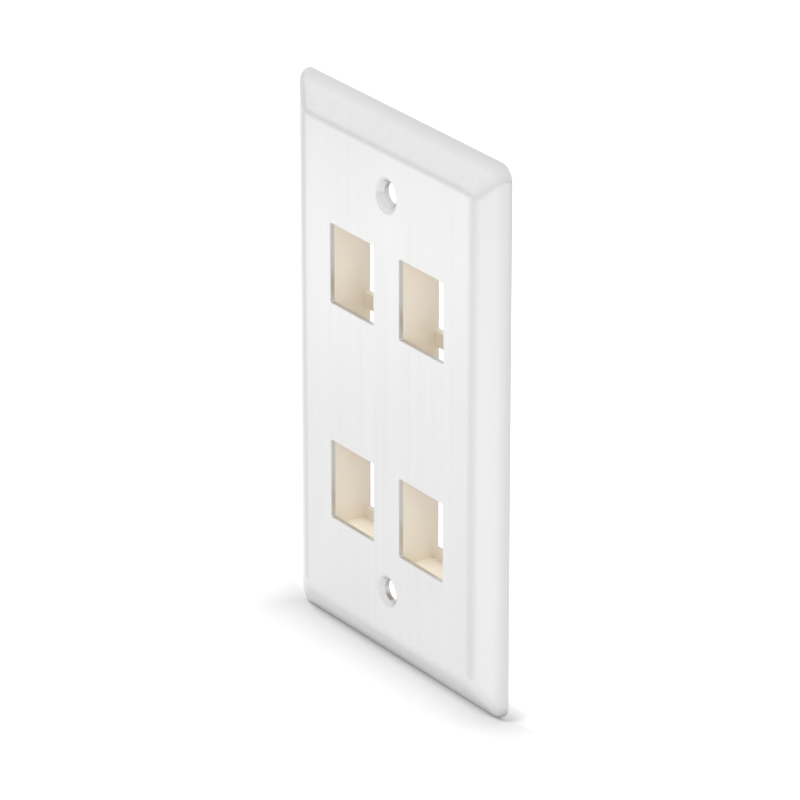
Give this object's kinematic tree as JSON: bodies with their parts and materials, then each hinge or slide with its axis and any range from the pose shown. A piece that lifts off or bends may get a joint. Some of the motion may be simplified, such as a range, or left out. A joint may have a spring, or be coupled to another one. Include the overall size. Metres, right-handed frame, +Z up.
{
  "type": "keystone faceplate",
  "caption": "Upright single-gang wall plate of pressed brushed stainless steel with sloping borders, dimpled screw holes and moulded ivory keystone sockets behind square ports.",
  "frame": {"origin": "centre of the two-screw pattern on the wall plane that the rim rests on", "axes": "+Z up along the plate's height, +X to the right seen from the front, +Y into the wall"},
  "size_m": [0.0698, 0.0095, 0.1142],
  "materials": {
    "stainless_sheet": "brushed lengthwise, satin",
    "ivory_plastic": "moulded, fine satin",
    "stud_steel": "as drawn",
    "spring_steel": "bright zinc"
  },
  "bodies": {
    "root": {"faceplate": "stainless_sheet", "upper_port_insert": "ivory_plastic", "lower_port_insert": "ivory_plastic", "insert_studs": "stud_steel", "stud_push_nuts": "spring_steel"}
  },
  "joints": []
}
